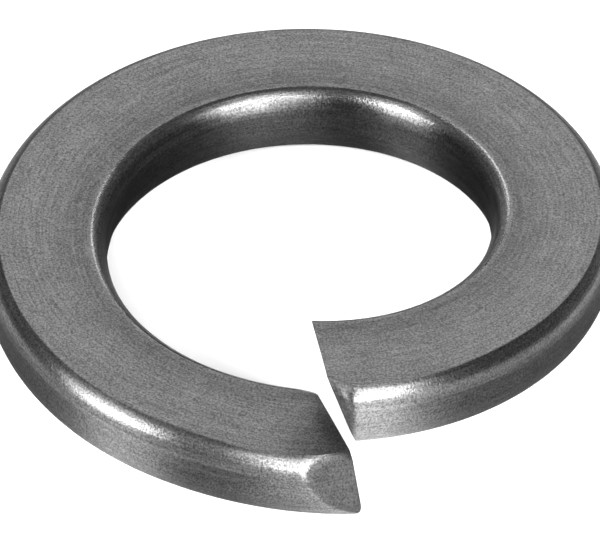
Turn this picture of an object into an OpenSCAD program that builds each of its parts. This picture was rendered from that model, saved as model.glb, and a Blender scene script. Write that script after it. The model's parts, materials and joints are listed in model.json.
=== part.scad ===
// Spring lock washer for a 12 mm bolt: one turn of flat steel wire, wound as a left-hand
// helix and cut through once. The bore runs along Z, the cut is on the -Y side, and the
// lowest point of the lower end is at z = 0. Millimetres.
//
// Angles along the wire are counted from the -Y side, anticlockwise seen from above. The
// upper end is just past 0 degrees, and the lower end is just past 360 degrees.

/* [Ring] */
// Diameter of the bore
bore_d = 12.4; // [10:0.1:18]
// Width of the wire, from the bore to the outer wall
wire_w = 4.0; // [3:0.1:7]
// Thickness of the wire
wire_t = 2.39; // [1.95:0.01:4]
// Open height between the two ends, where one lies above the other
end_lift = 0.43; // [0.1:0.01:3]

/* [Edges of the wire] */
// Width of the rounding at the upper outer edge
outer_top_w = 0.50; // [0.35:0.01:0.8]
// Height of the rounding at the upper outer edge
outer_top_h = 0.70; // [0.5:0.01:0.8]
// Width of the rounding at the lower outer edge
outer_low_w = 0.47; // [0.35:0.01:0.8]
// Height of the rounding at the lower outer edge
outer_low_h = 0.86; // [0.6:0.01:1.1]
// Angle at which the outer roundings leave the flat top and bottom
outer_crease_deg = 26; // [10:1:30]
// Angle at which the outer roundings meet the upright wall
outer_ridge_deg = 8; // [5:1:16]
// Width of the rounding at the upper inner edge
inner_top_w = 0.55; // [0.35:0.01:0.8]
// Height of the rounding at the upper inner edge
inner_top_h = 0.70; // [0.5:0.01:0.85]
// Width of the rounding at the lower inner edge
inner_low_w = 0.46; // [0.35:0.01:0.8]
// Height of the rounding at the lower inner edge
inner_low_h = 0.92; // [0.5:0.01:1.05]
// Angle at which the inner roundings leave the flat top and bottom
inner_crease_deg = 17; // [10:1:30]
// Angle at which the inner roundings meet the bore's wall
inner_ridge_deg = 15; // [5:1:16]

/* [Upper end] */
// Distance of the cut's top edge from the gap's centre line, at the middle of the wire
upper_cut_x = 0.64; // [0:0.01:1.5]
// Turn of the cut from the gap's centre line, seen from above
upper_cut_turn = 10.9; // [0:0.1:25]
// Slope of the cut from upright, so that the end overhangs
upper_cut_slope = 21; // [0:1:30]
// Depth of the upright flat on the outer corner, from the outer wall inwards at the cut
upper_flat_depth = 0.72; // [0:0.01:1.5]
// Turn of that flat from the gap's centre line, to the left seen from the front
upper_flat_turn = 35; // [5:0.5:40]
// Depth of the slanting flat above it, from the outer wall inwards at the cut's top edge
upper_slant_depth = 0.90; // [0:0.01:1.5]
// Turn of the slanting flat from the gap's centre line, to the left seen from the front
upper_slant_turn = 22; // [5:0.5:40]
// Backward lean of the slanting flat from upright
upper_slant_lean = 40; // [20:1:60]

/* [Lower end] */
// Distance of the cut's top edge from the gap's centre line, at the middle of the wire
lower_cut_x = 1.27; // [0.5:0.01:2]
// Turn of the cut from the gap's centre line, seen from above
lower_cut_turn = 22.9; // [0:0.1:30]
// Slope of the cut from upright
lower_cut_slope = 4.7; // [0:0.1:30]
// Depth of the steep flat on the outer corner, from the outer wall inwards at the cut's top
lower_flat_depth = 0.70; // [0:0.01:1.5]
// Turn of that flat from the gap's centre line, to the right seen from the front
lower_flat_turn = 26; // [5:0.5:40]
// Backward lean of that flat from upright
lower_flat_lean = 15; // [0:1:30]
// Depth of the slanting flat above it, from the outer wall inwards at the cut's top edge
lower_slant_depth = 1.15; // [0:0.01:1.5]
// Turn of the slanting flat from the gap's centre line, to the right seen from the front
lower_slant_turn = 60; // [5:0.5:70]
// Backward lean of the slanting flat from upright
lower_slant_lean = 45; // [20:1:60]
// Downward drag of the wire at the cut
tip_droop = 0.28; // [0:0.01:0.5]
// Length of wire that the cut has dragged down, along its middle
tip_droop_l = 5.2; // [0.5:0.1:8]
// Roll of the top face over the cut's edge, on top of the drag
tip_roll = 0.12; // [0:0.01:0.6]
// Length of wire whose top face rolls over
tip_roll_l = 0.70; // [0.3:0.05:1.5]

/* [Hidden] */

outer_d = bore_d + 2 * wire_w;
bore_r = bore_d / 2;
outer_r = outer_d / 2;
mid_r = (bore_r + outer_r) / 2;
rise = wire_t + end_lift;

// Steps of each rounding, steps of wire round the ring, and how much finer the last few
// steps before the lower end are
rounding_steps = 5;
ring_steps = 140;
tip_steps = 4;
tip_fineness = 3;

// Sides of the circles that the two walls are drawn with
wall_sides = 180;

// How steeply the drag and the roll grow towards the lower cut
drag_power = 1.5;
roll_power = 2;

function mix(a, b, u) = a + u * (b - a);
function curve(a, h, b, u) = mix(mix(a, h, u), mix(h, b, u), u);

// One rounding, from the flat to the upright wall, as [radius, height] points. It stops one
// step short of the wall, where the wall's cylinder cuts what lies past it. out is 1 on
// the outer wall and -1 at the bore, up is 1 at the top and -1 at the bottom.
function rounding(wall_r, flat_z, w, h, out, up) =
    let (
        crease = out > 0 ? outer_crease_deg : inner_crease_deg,
        ridge = out > 0 ? outer_ridge_deg : inner_ridge_deg,
        flat_end = [wall_r - out * w, flat_z],
        wall_end = [wall_r, flat_z - up * h],
        // The handle is where the directions at the two ends cross
        run = (w * cos(ridge) - h * sin(ridge)) / cos(crease + ridge),
        handle = flat_end + run * [out * cos(crease), -up * sin(crease)]
    )
    [for (i = [0 : rounding_steps - 1]) curve(flat_end, handle, wall_end, i / rounding_steps)];

function reversed(list) = [for (i = [len(list) - 1 : -1 : 0]) list[i]];

// The point between two roundings where both, carried on past the wall, meet
function crown(wall_r, low_h, top_h, out) =
    let (ridge = out > 0 ? outer_ridge_deg : inner_ridge_deg)
    [wall_r + out * (wire_t - top_h - low_h) / 2 * tan(ridge), (wire_t - top_h + low_h) / 2];

// The wire's section, from the inner edge of the top outwards, down, and back to the bore
section = concat(
    rounding(outer_r, wire_t, outer_top_w, outer_top_h, 1, 1),
    [crown(outer_r, outer_low_h, outer_top_h, 1)],
    reversed(rounding(outer_r, 0, outer_low_w, outer_low_h, 1, -1)),
    rounding(bore_r, 0, inner_low_w, inner_low_h, -1, -1),
    [crown(bore_r, inner_low_h, inner_top_h, -1)],
    reversed(rounding(bore_r, wire_t, inner_top_w, inner_top_h, -1, 1))
);

// Angle at which the line through section point p meets the plane of a cut
function cut_angle(p, x, turn, slope) =
    turn + asin((x * cos(turn) - mid_r * sin(turn) + (wire_t - p[1]) * tan(slope)) / p[0]);
function upper_end(p) = cut_angle(p, upper_cut_x, upper_cut_turn, upper_cut_slope);
function lower_end(p) = 360 + cut_angle(p, lower_cut_x, lower_cut_turn, lower_cut_slope);

// How far the wire is dragged down near the lower end, whose lowest corner is at tip_angle
tip_angle = lower_end([outer_r - outer_low_w, 0]);
function fade(distance, length, power) = pow(max(0, 1 - distance / length), power);
function drag(angle) =
    tip_droop * fade((tip_angle - angle) * PI / 180 * mid_r, tip_droop_l, drag_power);

// Height of the underside above the lower end's lowest corner
foot = tip_droop + rise * (tip_angle / 360 - 1);
function underside(angle) = foot + rise * (1 - angle / 360) - drag(angle);

// Section point p at a share u of the way from the upper end to the lower end
function wire_point(p, u) =
    let (
        angle = mix(upper_end(p), lower_end(p), u),
        to_cut = (lower_end(p) - angle) * PI / 180 * p[0],
        roll = tip_roll * fade(to_cut, tip_roll_l, roll_power) * p[1] / wire_t
    )
    [p[0] * sin(angle), -p[0] * cos(angle), p[1] + underside(angle) - roll];

stations = concat(
    [for (i = [0 : ring_steps - tip_steps]) i / ring_steps],
    [for (i = [1 : tip_steps * tip_fineness]) (ring_steps - tip_steps + i / tip_fineness) / ring_steps]
);

// The section carried along the wire, as one closed skin
module wire() {
    n = len(section);
    last = len(stations) - 1;
    side_faces = [
        for (s = [0 : last - 1], i = [0 : n - 1])
            let (a = s * n + i, b = s * n + (i + 1) % n)
            each [[a, b, b + n], [a, b + n, a + n]]
    ];
    upper_face = [[for (i = [n - 1 : -1 : 0]) i]];
    lower_face = [[for (i = [0 : n - 1]) last * n + i]];
    polyhedron(
        points = [for (u = stations, p = section) wire_point(p, u)],
        faces = concat(side_faces, upper_face, lower_face),
        convexity = 6
    );
}

// What a flat takes off the outer corner of one end: all that lies outside a leaning plane
// through the cut's top edge. angle is the place of that edge, and past is how far the flat
// reaches beyond it.
module corner_waste(depth, angle, turn, lean, past) {
    edge_r = outer_r - depth;
    translate([edge_r * sin(angle), -edge_r * cos(angle), underside(angle) + wire_t])
        rotate([0, 0, turn])
            rotate([-lean, 0, 0])
                translate([-wire_w, -wire_w, -wire_w])
                    cube([wire_w + past, wire_w, 2 * wire_w]);
}

// The space of one end, above or below the middle of the open gap between them
module end_space(above) {
    size = 2 * outer_r;
    middle = foot + wire_t + end_lift / 2;
    translate([-size / 2, -size, middle - (above ? 0 : size)]) cube(size);
}

module upper_corner_waste(depth, turn, lean) {
    angle = upper_end([outer_r - depth, wire_t]);
    intersection() {
        corner_waste(depth, angle, -turn, lean, wire_w);
        end_space(true);
    }
}

// It stops short of the upper end's wire, which comes down past it further on
module lower_corner_waste(depth, turn, lean) {
    angle = lower_end([outer_r - depth, wire_t]);
    intersection() {
        corner_waste(depth, angle, turn, lean, wire_t / 2);
        end_space(false);
    }
}

module lock_washer() {
    margin = 1;
    height = foot + rise + wire_t + 2 * margin;
    color("dimgray")
        difference() {
            intersection() {
                wire();
                translate([0, 0, -margin]) cylinder(h = height, r = outer_r, $fn = wall_sides);
            }
            translate([0, 0, -margin]) cylinder(h = height, d = bore_d, $fn = wall_sides);
            upper_corner_waste(upper_flat_depth, upper_flat_turn, 0);
            upper_corner_waste(upper_slant_depth, upper_slant_turn, upper_slant_lean);
            lower_corner_waste(lower_flat_depth, lower_flat_turn, lower_flat_lean);
            lower_corner_waste(lower_slant_depth, lower_slant_turn, lower_slant_lean);
        }
}

lock_washer();
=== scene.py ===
"""Spring lock washer: one turn of flat steel wire with two sheared ends, lying on a pale
floor. The wire is wound here again, finer than the frame's solid and in its place. Sizes
are in metres, and angles along the wire are in degrees, counted anticlockwise from -Y."""
import json
import math

import bmesh
import bpy
from mathutils import Matrix, Vector


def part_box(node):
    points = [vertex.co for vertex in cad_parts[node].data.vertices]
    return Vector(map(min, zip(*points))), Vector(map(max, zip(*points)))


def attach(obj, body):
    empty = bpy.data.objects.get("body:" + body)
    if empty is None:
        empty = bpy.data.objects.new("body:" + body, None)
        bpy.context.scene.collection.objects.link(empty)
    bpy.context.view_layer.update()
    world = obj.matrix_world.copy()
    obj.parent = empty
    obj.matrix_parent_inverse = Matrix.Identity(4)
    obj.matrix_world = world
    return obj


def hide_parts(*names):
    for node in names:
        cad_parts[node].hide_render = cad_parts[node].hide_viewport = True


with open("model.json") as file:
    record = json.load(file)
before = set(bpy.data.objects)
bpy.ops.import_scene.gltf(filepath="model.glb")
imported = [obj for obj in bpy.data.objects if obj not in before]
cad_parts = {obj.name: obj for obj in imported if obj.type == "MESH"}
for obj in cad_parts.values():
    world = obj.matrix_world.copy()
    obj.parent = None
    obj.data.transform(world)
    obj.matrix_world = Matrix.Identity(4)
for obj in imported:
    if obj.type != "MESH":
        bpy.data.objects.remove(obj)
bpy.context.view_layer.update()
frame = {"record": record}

MM = 0.001
NODE = "lock_washer"

# Sizes that the frame gives
LOW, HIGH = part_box(NODE)
BORE_R = frame["record"]["mounts"][0]["dims"]["r_mm"] * MM
OUTER_R = (HIGH.x - LOW.x) / 2
MID_R = (BORE_R + OUTER_R) / 2

# The wire: its thickness, and the open height where one end lies above the other
WIRE_T = 2.39 * MM
END_LIFT = 0.43 * MM
RISE = WIRE_T + END_LIFT

# Roundings of the wire's four edges, as (width on the flat, height on the wall), and the
# angles at which they leave the flat and meet the wall
OUTER_TOP = (0.50 * MM, 0.70 * MM)
OUTER_LOW = (0.47 * MM, 0.86 * MM)
OUTER_CREASE, OUTER_RIDGE = math.radians(26), math.radians(8)
INNER_TOP = (0.55 * MM, 0.70 * MM)
INNER_LOW = (0.46 * MM, 0.92 * MM)
INNER_CREASE, INNER_RIDGE = math.radians(17), math.radians(15)

# Where the upper outer crease wanders off its place, as (turn, reach, distance outwards)
WANDERS = ((18, 16, 0.17 * MM), (352, 7, 0.11 * MM))

# The two cuts: distance right of the gap's centre line, turn and slope
UPPER_CUT = (0.64 * MM, math.radians(10.9), math.radians(21))
LOWER_CUT = (1.27 * MM, math.radians(22.9), math.radians(4.7))

# Burr that the blade left on the upper end: reach beyond the cut, then the middle and the
# spread of it across the wire and up its height
UPPER_BURR = 0.16 * MM
BURR_R, BURR_R_SPREAD = 9.55 * MM, 0.35 * MM
BURR_Z, BURR_Z_SPREAD = 1.5 * MM, 0.55 * MM

# The lower end's wire, dragged down by the cut: how far, over how many degrees, how steeply,
# and the share of it left at the bore, which grows to the whole at DROOP_FULL_R
TIP_DROOP, TIP_DROOP_TURN, DROOP_POWER = 0.28 * MM, 36, 1.5
DROOP_AT_BORE, DROOP_FULL_R = 0.35, 9.5 * MM

# Its top face, rolled over the cut's edge: how far, over what length, and how steeply
TIP_ROLL, TIP_ROLL_L, ROLL_POWER = 0.12 * MM, 0.70 * MM, 2.0

# Its cut's rounded inner corner and foot: how far each stands back, and its width or height
TIP_CORNER, TIP_CORNER_W = 0.10 * MM, 0.60 * MM
TIP_FOOT, TIP_FOOT_H = 0.38 * MM, 0.60 * MM

# Flats pressed on the outer corners of the ends, each as depth from the outer wall at the
# cut's top edge, turn, backward lean, and how rough it is pressed, 0 to 1. SOFT is how far
# each blends into what it meets.
UPPER_FLATS = (
    (0.66 * MM, math.radians(-36), math.radians(0), 1.0),
    (0.85 * MM, math.radians(-22), math.radians(40), 0.8))
LOWER_FLATS = (
    (0.71 * MM, math.radians(23), math.radians(38), 0.0),
    (0.82 * MM, math.radians(29), math.radians(18), 1.0),
    (1.08 * MM, math.radians(60), math.radians(45), 1.0))
UPPER_SOFT, LOWER_SOFT = 0.09 * MM, 0.07 * MM

# How far past a flat's border its pressed look starts, in SOFTs: later on the top face and
# the rounding, and sooner on the wall, which starts at WALL_FROM along the section
DELAY_ABOVE, DELAY_ON_WALL = 0.5, -1.0
WALL_FROM = 3.9 * MM

# Camera: fitted azimuth, elevation and roll, distance, and pixels for one outer radius
AZIMUTH, ELEVATION, ROLL = math.radians(-91.10), math.radians(40.46), math.radians(2.06)
DISTANCE = 31.54 * OUTER_R
PHOTO_W, PHOTO_H = 600, 559
RADIUS_PX = 314.29
CENTRE_PX = Vector((296.80, 308.18))  # where the helix's own centre falls in the photo
SENSOR_W = 36.0
CLIP_START = 0.01

# Lights: azimuth and elevation in degrees, distance, width, height and power. The one at the
# back gives the top its sheen. left and front_left shine in the lower end's roundings and
# wall, front_low and front_right in the upper end's, and front_high in the bore.
LIGHTS = {
    "back": (90, 40, 0.5, 0.60, 0.34, 1.55),
    "left": (-151, 27, 0.4, 0.16, 0.22, 2.7),
    "front_low": (-68, 12, 0.4, 0.16, 0.07, 3.2),
    "front_left": (-90, 12, 0.4, 0.05, 0.05, 0.4),
    "front_right": (-50, 33, 0.4, 0.06, 0.10, 0.4),
    "front_high": (-78, 42, 0.4, 0.30, 0.11, 1.7)}
ROOM_GREY = 0.18      # of the even light from all round
FLOOR_REACH = 1.5

# Detail of the mesh
SPIN_STEPS = 360    # stations of wire round the ring
FINENESS = 0.6      # how much closer the stations are near the ends, 0 to 1
END_BLEND = 26.0    # degrees of wire over which its stations lean to meet a slanted cut
PRESS_REACH = 35.0  # degrees of wire that a pressed flat may reach
ROUNDING_STEPS = 12
WALL_STEPS = 10
FLAT_STEPS = 14
RIM, RIM_STEPS = 0.035 * MM, 3    # bevel of the cuts' edges
SHARP = math.radians(18)          # edges that turn more than this stay sharp in the shading
LEVEL_ENOUGH = 0.5                # least upward part of the normal of a face to rest on

# How the steel looks across the wire, as (distance in mm, value): its brightness, its roughness,
# and how far its highlights stretch. The distance runs along the section from the inner edge of
# the top face, which is flat from 0 to 2.95. The outer rounding ends at 3.85, and the outer wall
# follows. The bore's side is below 0, its rounding down to -0.9. The brightness holds painted
# light. Its peaks on the bore's top rounding and crease, from -0.45 to -0.01, are a painted
# highlight and a painted light line. Its dip from 2.96 to 3.04 is a painted dark line under the
# outer crease. Its rise from 3.14 to 3.45 is a painted highlight on the outer rounding. The walls
# are darker than the top face, and the bore's wall is darkest: this is painted shade.
TONE_AND_PAINTED_LIGHT = (
    (-3.2, 0.21), (-0.9, 0.21), (-0.64, 0.30), (-0.45, 0.55), (-0.34, 1.1), (-0.12, 1.3),
    (-0.05, 1.9), (-0.01, 1.9), (0.0, 0.9), (0.02, 1.0), (0.1, 0.85), (0.25, 0.74),
    (0.56, 0.82), (1.3, 0.97), (1.8, 1.0), (2.93, 1.0), (2.96, 0.50), (3.04, 0.50),
    (3.14, 0.80), (3.3, 0.80), (3.45, 0.95), (3.62, 0.62), (3.76, 0.50), (3.83, 0.68),
    (3.89, 0.68), (3.97, 0.62), (6.0, 0.58))
ROUGHNESS = (
    (-3.2, 0.56), (-1.0, 0.56), (-0.6, 0.30), (-0.14, 0.28), (-0.08, 0.16), (-0.01, 0.16),
    (0.0, 0.45), (2.94, 0.45), (3.0, 0.40), (3.2, 0.34), (3.4, 0.28), (3.62, 0.30),
    (3.92, 0.52), (6.0, 0.55))
STRETCH = (
    (-3.2, 1.0), (-0.9, 0.9), (-0.03, 0.7), (0.0, 0.3), (2.94, 0.3), (3.0, 0.6), (3.62, 0.7),
    (3.92, 1.0), (6.0, 1.0))

# The same three on the flats that were pressed on the ends
PRESSED_TONE, PRESSED_ROUGHNESS, PRESSED_STRETCH = 0.38, 0.60, 0.0

# Share of its light that the steel gives back at a glancing angle, where scale keeps it dark
GLANCING_SHARE = 0.45

# Grain of the rolled steel, as (size, least factor, greatest factor). The lines' size is
# their length and their width.
LINES = ((2.4 * MM, 0.09 * MM), 0.80, 1.20)
SPECKLE = (0.065 * MM, 0.50, 1.60)
MOTTLE = (0.8 * MM, 0.93, 1.07)
NOISE_LOW, NOISE_HIGH = 0.30, 0.70    # nearly all values of a noise lie between these


def linear(hex_colour):
    """An sRGB hex colour as linear red, green, blue and alpha."""
    parts = [int(hex_colour[i:i + 2], 16) / 255 for i in (1, 3, 5)]
    return [c / 12.92 if c <= 0.04045 else ((c + 0.055) / 1.055) ** 2.4 for c in parts] + [1.0]


def mix(a, b, u):
    return a + (b - a) * u


# The wire's shape

def rounding(flat_z, size, out, up):
    """Points (radius, height) from the flat to the wall; out and up are 1 or -1."""
    width, height = size
    wall_r = OUTER_R if out > 0 else BORE_R
    crease = OUTER_CREASE if out > 0 else INNER_CREASE
    ridge = OUTER_RIDGE if out > 0 else INNER_RIDGE
    flat_end = Vector((wall_r - out * width, flat_z))
    wall_end = Vector((wall_r, flat_z - up * height))
    run = (width * math.cos(ridge) - height * math.sin(ridge)) / math.cos(crease + ridge)
    handle = flat_end + run * Vector((out * math.cos(crease), -up * math.sin(crease)))
    points = []
    for i in range(ROUNDING_STEPS + 1):
        u = i / ROUNDING_STEPS
        points.append(mix(mix(flat_end, handle, u), mix(handle, wall_end, u), u))
    return points


def section():
    """The wire's outline, from the inner edge of the bottom up, outwards and back round."""
    corners = [
        rounding(0.0, INNER_LOW, -1, -1),
        rounding(WIRE_T, INNER_TOP, -1, 1)[::-1],
        rounding(WIRE_T, OUTER_TOP, 1, 1),
        rounding(0.0, OUTER_LOW, 1, -1)[::-1]]
    next_corners = corners[1:] + corners[:1]
    outline = []
    for corner, after, steps in zip(corners, next_corners, (WALL_STEPS, FLAT_STEPS) * 2):
        outline += corner
        outline += [mix(corner[-1], after[0], i / steps) for i in range(1, steps)]
    return outline


def cut_turn(point, cut):
    """Angle, in degrees, at which the line through a section point meets a cut."""
    x, turn, slope = cut
    reach = x * math.cos(turn) - MID_R * math.sin(turn) + (WIRE_T - point.y) * math.tan(slope)
    return math.degrees(turn + math.asin(reach / point.x))


def corner_retreat(point):
    """How far the lower end's rounded inner corner and foot stand back from its cut."""
    inner = 1 - (point.x - BORE_R) / TIP_CORNER_W
    foot = 1 - point.y / TIP_FOOT_H
    return (TIP_CORNER * math.sin(math.pi / 2 * max(0.0, inner)) ** 2
            + TIP_FOOT * max(0.0, foot) ** 2)


def burr(point):
    """How far the upper end's burr stands out of its cut."""
    off = ((point.x - BURR_R) / BURR_R_SPREAD) ** 2 + ((point.y - BURR_Z) / BURR_Z_SPREAD) ** 2
    return UPPER_BURR * math.exp(-off)


def upper_end(point):
    """Angle at which the line through a section point starts, at the upper end."""
    return cut_turn(point, UPPER_CUT) - math.degrees(burr(point) / point.x)


def lower_end(point):
    """Angle at which the line through a section point stops, at the lower end."""
    return 360 + cut_turn(point, LOWER_CUT) - math.degrees(corner_retreat(point) / point.x)


# Angle of the lower end's lowest corner, and the height of the wire's underside at 360
# degrees without the drag, which puts that corner at z = 0
TIP_TURN = 360 + cut_turn(Vector((OUTER_R - OUTER_LOW[0], 0.0)), LOWER_CUT)
FOOT = TIP_DROOP + RISE * (TIP_TURN / 360 - 1)


def fade(distance, length, power):
    """1 where the distance is 0, down to 0 at a length and beyond."""
    return max(0.0, 1 - distance / length) ** power


def underside(turn, radius=OUTER_R):
    """Height of the wire's underside."""
    dragged = TIP_DROOP * fade(TIP_TURN - turn, TIP_DROOP_TURN, DROOP_POWER)
    share = mix(DROOP_AT_BORE, 1, min(1.0, (radius - BORE_R) / (DROOP_FULL_R - BORE_R)))
    return FOOT + RISE * (1 - turn / 360) - share * dragged


def crease_shift(point, turn):
    """How far a section point moves outwards where the upper outer crease wanders."""
    width, height = OUTER_TOP
    if point.y < WIRE_T - height:
        return 0.0
    share = min((OUTER_R - point.x) / width, (point.x - MID_R) / (OUTER_R - width - MID_R))
    bumps = sum(out * math.exp(-((turn - at) / reach) ** 2) for at, reach, out in WANDERS)
    return bumps * max(0.0, share)


def wind_wire():
    """Spins the section into a helix, then leans its stations to the two cuts. Each vertex
    keeps its place on the wire, as (length along, distance along the section, angle)."""
    outline = section()
    first = min(upper_end(p) for p in outline)
    last = max(lower_end(p) for p in outline)
    bm = bmesh.new()
    start = Matrix.Rotation(math.radians(first - 90), 4, "Z")
    ring = [bm.verts.new(start @ Vector((p.x, 0.0, p.y + underside(first)))) for p in outline]
    loop = [bm.edges.new((ring[i - 1], ring[i])) for i in range(len(ring))]
    bmesh.ops.spin(
        bm, geom=ring + loop, cent=(0, 0, 0), axis=(0, 0, 1), angle=math.radians(last - first),
        dvec=(0, 0, -RISE * (last - first) / 360 / SPIN_STEPS), steps=SPIN_STEPS,
        use_merge=False)
    bm.verts.ensure_lookup_table()

    bm.verts.layers.float.new("pressed")
    wire = bm.verts.layers.float_vector.new("wire")
    around = [0.0]
    for i in range(1, len(outline)):
        around.append(around[-1] + (outline[i] - outline[i - 1]).length)
    top_starts = around[2 * ROUNDING_STEPS + WALL_STEPS]    # past both roundings of the bore
    for k, vert in enumerate(bm.verts):
        point = outline[k % len(outline)]
        share = k // len(outline) / SPIN_STEPS
        share -= FINENESS * math.sin(2 * math.pi * share) / (2 * math.pi)
        turn = mix(first, last, share)
        to_first = max(0.0, 1 - (turn - first) / END_BLEND)
        to_last = max(0.0, 1 - (last - turn) / END_BLEND)
        turn += (upper_end(point) - first) * to_first + (lower_end(point) - last) * to_last
        to_cut = math.radians(lower_end(point) - turn) * point.x
        drop = TIP_ROLL * fade(to_cut, TIP_ROLL_L, ROLL_POWER) * point.y / WIRE_T
        away = Vector((point.x + crease_shift(point, turn), 0.0, 0.0))
        place = Matrix.Rotation(math.radians(turn - 90), 4, "Z") @ away
        vert.co = place + Vector((0, 0, point.y + underside(turn, point.x) - drop))
        vert[wire] = (math.radians(turn) * MID_R, around[k % len(outline)] - top_starts, turn)
    return bm


def press_corner(bm, end_turn, cut, flats, soft):
    """Presses flats on the outer corner of one end. Each point beyond a flat is moved along
    the cut's own line until it lies on the flat, so the cut stays plane. The pressed layer
    says how rough the flats were pressed there."""
    wire = bm.verts.layers.float_vector["wire"]
    pressed = bm.verts.layers.float["pressed"]
    inwards = Matrix.Rotation(cut[1], 3, "Z") @ Vector((0, 1, 0))
    for depth, turn, lean, rough in flats:
        edge = Vector((OUTER_R - depth, WIRE_T))
        edge_turn = cut_turn(edge, cut) + end_turn
        at = Matrix.Rotation(math.radians(edge_turn - 90), 3, "Z") @ Vector((edge.x, 0, 0))
        at.z = underside(edge_turn) + WIRE_T
        out = Matrix.Rotation(turn, 3, "Z") @ Matrix.Rotation(-lean, 3, "X") @ Vector((0, -1, 0))
        for vert in bm.verts:
            if abs(vert[wire].z - end_turn) < PRESS_REACH:
                beyond = (vert.co - at).dot(out)
                blend = max(0.0, min(beyond, soft) + soft) ** 2 / (4 * soft)
                past = blend + max(0.0, beyond - soft)
                vert.co -= inwards * past / inwards.dot(out)
                delay = DELAY_ABOVE if vert[wire].y < WALL_FROM else DELAY_ON_WALL
                sunk = min(1.0, max(0.0, beyond / soft - delay))
                vert[pressed] = max(vert[pressed], rough * sunk)


def close_ends(bm):
    """Fills both ends of the wire and takes a fine bevel off their rims."""
    rims = [e for e in bm.edges if e.is_boundary]
    ends = bmesh.ops.holes_fill(bm, edges=rims)["faces"]
    bmesh.ops.recalc_face_normals(bm, faces=bm.faces)
    for face in ends:
        face.material_index = 1    # the sheared steel
    bmesh.ops.bevel(
        bm, geom=rims, offset=RIM, offset_type="OFFSET", segments=RIM_STEPS, profile=0.5,
        affect="EDGES", clamp_overlap=True, material=-1)


def washer():
    """The washer, as one closed mesh."""
    bm = wind_wire()
    press_corner(bm, 0, UPPER_CUT, UPPER_FLATS, UPPER_SOFT)
    press_corner(bm, 360, LOWER_CUT, LOWER_FLATS, LOWER_SOFT)
    close_ends(bm)
    mesh = bpy.data.meshes.new("spring_washer")
    bm.to_mesh(mesh)
    bm.free()
    mesh.shade_smooth()
    mesh.set_sharp_from_angle(angle=SHARP)
    piece = bpy.data.objects.new("spring_washer", mesh)
    bpy.context.scene.collection.objects.link(piece)
    return piece


# Materials

def add(tree, kind, links=None, **settings):
    """Adds one node. links maps an input's name or number to the socket that feeds it, and
    settings are the node's own settings and its inputs' values, with _ for a space."""
    node = tree.nodes.new(kind)
    for name, value in settings.items():
        if name in node.bl_rna.properties:
            setattr(node, name, value)
        else:
            node.inputs[name.replace("_", " ")].default_value = value
    for name, source in (links or {}).items():
        tree.links.new(source, node.inputs[name])
    return node


def new_material(name):
    """An empty material and its node tree."""
    material = bpy.data.materials.new(name)
    material.use_nodes = True
    material.node_tree.nodes.clear()
    return material, material.node_tree


def across(tree, distance, stops):
    """A value that changes across the wire as one of the tables of stops says."""
    first, last = stops[0][0], stops[-1][0]
    share = add(tree, "ShaderNodeMapRange", {0: distance}, From_Min=first * MM, From_Max=last * MM)
    ramp = add(tree, "ShaderNodeValToRGB", {0: share.outputs[0]})
    for at, value in stops[1:-1]:
        ramp.color_ramp.elements.new((at - first) / (last - first))
    for element, (at, value) in zip(ramp.color_ramp.elements, stops):
        element.color = (value, value, value, 1)
    return ramp.outputs[0]


def where_pressed(tree, pressed, elsewhere, value):
    """A value that gives way to another one on the pressed flats."""
    mixed = add(tree, "ShaderNodeMix", {"Factor": pressed, "A": elsewhere}, B=value)
    return mixed.outputs["Result"]


def grain_of(tree, place, size, low, high):
    """Noise with grains of one size, as a factor between low and high."""
    noise = add(
        tree, "ShaderNodeTexNoise", {"Vector": place}, Scale=1 / size, Detail=2.0, Roughness=0.6)
    factor = add(
        tree, "ShaderNodeMapRange", {0: noise.outputs["Fac"]},
        From_Min=NOISE_LOW, From_Max=NOISE_HIGH, To_Min=low, To_Max=high)
    return factor.outputs[0]


def times(tree, *factors):
    """The product of some sockets."""
    product = factors[0]
    for factor in factors[1:]:
        step = add(tree, "ShaderNodeMath", {0: product, 1: factor}, operation="MULTIPLY")
        product = step.outputs[0]
    return product


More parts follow.
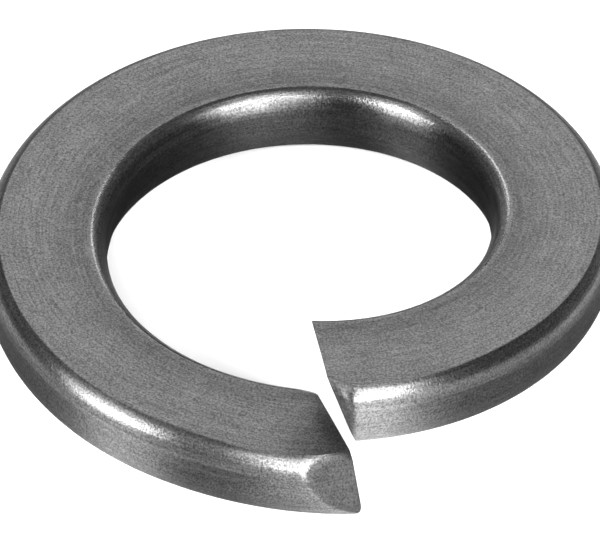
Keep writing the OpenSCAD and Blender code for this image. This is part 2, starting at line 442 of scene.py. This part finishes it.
def rolled_spring_steel():
    """Hardened spring steel, as rolled: dark grey, finely grained, with faint lines along the wire
    that stretch its highlights across it, and glossier roundings where rolls pressed it. Its
    brightness across the wire holds painted highlights on the creases and roundings, and painted
    shade on the walls."""
    material, tree = new_material("rolled_spring_steel")
    place = add(tree, "ShaderNodeTexCoord").outputs["Object"]
    wire = add(
        tree, "ShaderNodeAttribute", attribute_name="wire",
        attribute_type="GEOMETRY").outputs["Vector"]
    pressed = add(
        tree, "ShaderNodeAttribute", attribute_name="pressed",
        attribute_type="GEOMETRY").outputs["Fac"]
    distance = add(tree, "ShaderNodeSeparateXYZ", {0: wire}).outputs["Y"]

    (line_l, line_w), line_low, line_high = LINES
    stretched = add(tree, "ShaderNodeVectorMath", {0: wire}, operation="MULTIPLY")
    stretched.inputs[1].default_value = (1 / line_l, 1 / line_w, 0.0)
    lines = grain_of(tree, stretched.outputs[0], 1.0, line_low, line_high)
    speckle = grain_of(tree, place, *SPECKLE)
    mottle = grain_of(tree, place, *MOTTLE)

    # Brightness across the wire: painted highlights along the creases and roundings, a painted
    # dark line under the outer crease, and painted shade on the walls
    tone_and_painted_light = where_pressed(tree, pressed, across(tree, distance, TONE_AND_PAINTED_LIGHT), PRESSED_TONE)
    roughness = where_pressed(tree, pressed, across(tree, distance, ROUGHNESS), PRESSED_ROUGHNESS)
    stretch = where_pressed(tree, pressed, across(tree, distance, STRETCH), PRESSED_STRETCH)

    factor = times(tree, tone_and_painted_light, lines, speckle, mottle)
    shade = add(tree, "ShaderNodeVectorMath", {"Scale": factor}, operation="SCALE")
    shade.inputs[0].default_value = linear("#646464")[:3]
    bump = add(
        tree, "ShaderNodeBump", {"Height": times(tree, speckle, lines)},
        Strength=0.7, Distance=0.004 * MM)
    along = add(tree, "ShaderNodeVectorMath", {1: place}, operation="CROSS_PRODUCT")
    along.inputs[0].default_value = (0, 0, 1)

    # A quarter turn stretches the highlights across the lines and not along them
    steel = add(
        tree, "ShaderNodeBsdfPrincipled",
        {"Base Color": shade.outputs[0], "Roughness": roughness, "Anisotropic": stretch,
         "Tangent": along.outputs[0], "Normal": bump.outputs["Normal"]},
        Metallic=1.0, Anisotropic_Rotation=0.25,
        Specular_Tint=(GLANCING_SHARE, GLANCING_SHARE, GLANCING_SHARE, 1))
    add(tree, "ShaderNodeOutputMaterial", {"Surface": steel.outputs[0]})
    return material


def sheared_steel():
    """The same steel where the blade went through: rougher, with a torn grain."""
    material, tree = new_material("sheared_spring_steel")
    place = add(tree, "ShaderNodeTexCoord").outputs["Object"]
    grain = add(
        tree, "ShaderNodeTexNoise", {"Vector": place},
        Scale=1 / (0.16 * MM), Detail=4.0, Roughness=0.65).outputs["Fac"]
    shade = add(
        tree, "ShaderNodeMix", {"Factor": grain}, data_type="RGBA",
        A=linear("#4a4a4a"), B=linear("#808080"))
    bump = add(tree, "ShaderNodeBump", {"Height": grain}, Strength=0.8, Distance=0.02 * MM)
    steel = add(
        tree, "ShaderNodeBsdfPrincipled",
        {"Base Color": shade.outputs["Result"], "Normal": bump.outputs["Normal"]},
        Metallic=1.0, Roughness=0.5)
    add(tree, "ShaderNodeOutputMaterial", {"Surface": steel.outputs[0]})
    return material


def matt_card():
    """White matt card, the studio floor: plain, with no gloss."""
    material, tree = new_material("matt_white_card")
    card = add(tree, "ShaderNodeBsdfPrincipled", Roughness=0.9, Base_Color=linear("#fcfcfc"))
    add(tree, "ShaderNodeOutputMaterial", {"Surface": card.outputs[0]})
    return material


# The studio

def resting_plane(piece):
    """A point and the upward normal of the plane that the piece rests on: the lower face of
    its hull that lies under its middle."""
    hull = bmesh.new()
    hull.from_mesh(piece.data)
    middle = sum((v.co for v in hull.verts), Vector()) / len(hull.verts)
    wire = hull.verts.layers.float_vector["wire"]
    above = [v for v in hull.verts if v.co.z > underside(v[wire][2]) + RIM]
    bmesh.ops.delete(hull, geom=above, context="VERTS")
    bmesh.ops.convex_hull(hull, input=hull.verts)
    lowest = None
    for face in hull.faces:
        corners = [v.co.xy - middle.xy for v in face.verts]
        sides = [corners[i - 1].cross(corners[i]) for i in range(len(corners))]
        if min(sides) * max(sides) < 0 or abs(face.normal.z) < LEVEL_ENOUGH:
            continue
        at = face.verts[0].co.copy()
        up = face.normal * math.copysign(1, face.normal.z)
        below = at.z + (at.xy - middle.xy).dot(up.xy) / up.z
        if lowest is None or below < lowest[0]:
            lowest = below, at, up
    hull.free()
    return lowest[1:]


def pale_floor(at, up):
    """The floor, tilted to the plane that the washer rests on."""
    mesh = bpy.data.meshes.new("floor")
    bm = bmesh.new()
    bmesh.ops.create_grid(bm, x_segments=1, y_segments=1, size=FLOOR_REACH)
    tilt = Vector((0, 0, 1)).rotation_difference(up).to_matrix()
    bmesh.ops.rotate(bm, verts=bm.verts, cent=(0, 0, 0), matrix=tilt)
    bmesh.ops.translate(bm, verts=bm.verts, vec=Vector((0, 0, at.dot(up) / up.z)))
    bm.to_mesh(mesh)
    bm.free()
    mesh.materials.append(matt_card())
    floor = bpy.data.objects.new("floor", mesh)
    bpy.context.scene.collection.objects.link(floor)
    return floor


def direction(azimuth, elevation):
    """The unit vector towards an azimuth and an elevation in radians."""
    return Vector((
        math.cos(elevation) * math.cos(azimuth),
        math.cos(elevation) * math.sin(azimuth),
        math.sin(elevation)))


def camera():
    """The fitted camera. It is aimed so that the helix's centre falls where the photo has it."""
    centre = Vector((0, 0, FOOT))
    back = direction(AZIMUTH, ELEVATION)
    level = Vector((-math.sin(AZIMUTH), math.cos(AZIMUTH), 0))
    upright = back.cross(level)
    right = math.cos(ROLL) * level + math.sin(ROLL) * upright
    up = -math.sin(ROLL) * level + math.cos(ROLL) * upright
    offset = Vector((PHOTO_W / 2, PHOTO_H / 2)) - CENTRE_PX
    target = centre + (right * offset.x - up * offset.y) * OUTER_R / RADIUS_PX
    place = centre + back * DISTANCE

    away = (place - target).normalized()
    side = up.cross(away).normalized()
    turned = Matrix((side, away.cross(side), away)).transposed().to_4x4()
    data = bpy.data.cameras.new("camera")
    data.sensor_width = SENSOR_W
    data.lens = RADIUS_PX / OUTER_R * DISTANCE * SENSOR_W / PHOTO_W
    data.clip_start = CLIP_START
    viewer = bpy.data.objects.new("camera", data)
    viewer.matrix_world = Matrix.Translation(place) @ turned
    bpy.context.scene.collection.objects.link(viewer)
    bpy.context.scene.camera = viewer


def softbox(name, azimuth, elevation, distance, width, height, power):
    """A light that faces the washer from an azimuth and elevation in degrees."""
    data = bpy.data.lights.new(name, "AREA")
    data.shape = "RECTANGLE"
    data.size, data.size_y = width, height
    data.energy = power
    light = bpy.data.objects.new(name, data)
    away = direction(math.radians(azimuth), math.radians(elevation))
    turned = away.to_track_quat("Z", "Y").to_matrix().to_4x4()
    light.matrix_world = Matrix.Translation(away * distance) @ turned
    bpy.context.scene.collection.objects.link(light)


def studio():
    """The grey room and its lights."""
    world = bpy.data.worlds.new("studio")
    world.use_nodes = True
    background = world.node_tree.nodes["Background"]
    background.inputs["Color"].default_value = (ROOM_GREY, ROOM_GREY, ROOM_GREY, 1)
    bpy.context.scene.world = world
    bpy.context.scene.view_settings.view_transform = "Standard"
    for name, light in LIGHTS.items():
        softbox(name, *light)


piece = washer()
piece.data.materials.append(rolled_spring_steel())
piece.data.materials.append(sheared_steel())
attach(piece, "root")
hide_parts(NODE)

pale_floor(*resting_plane(piece))
camera()
studio()
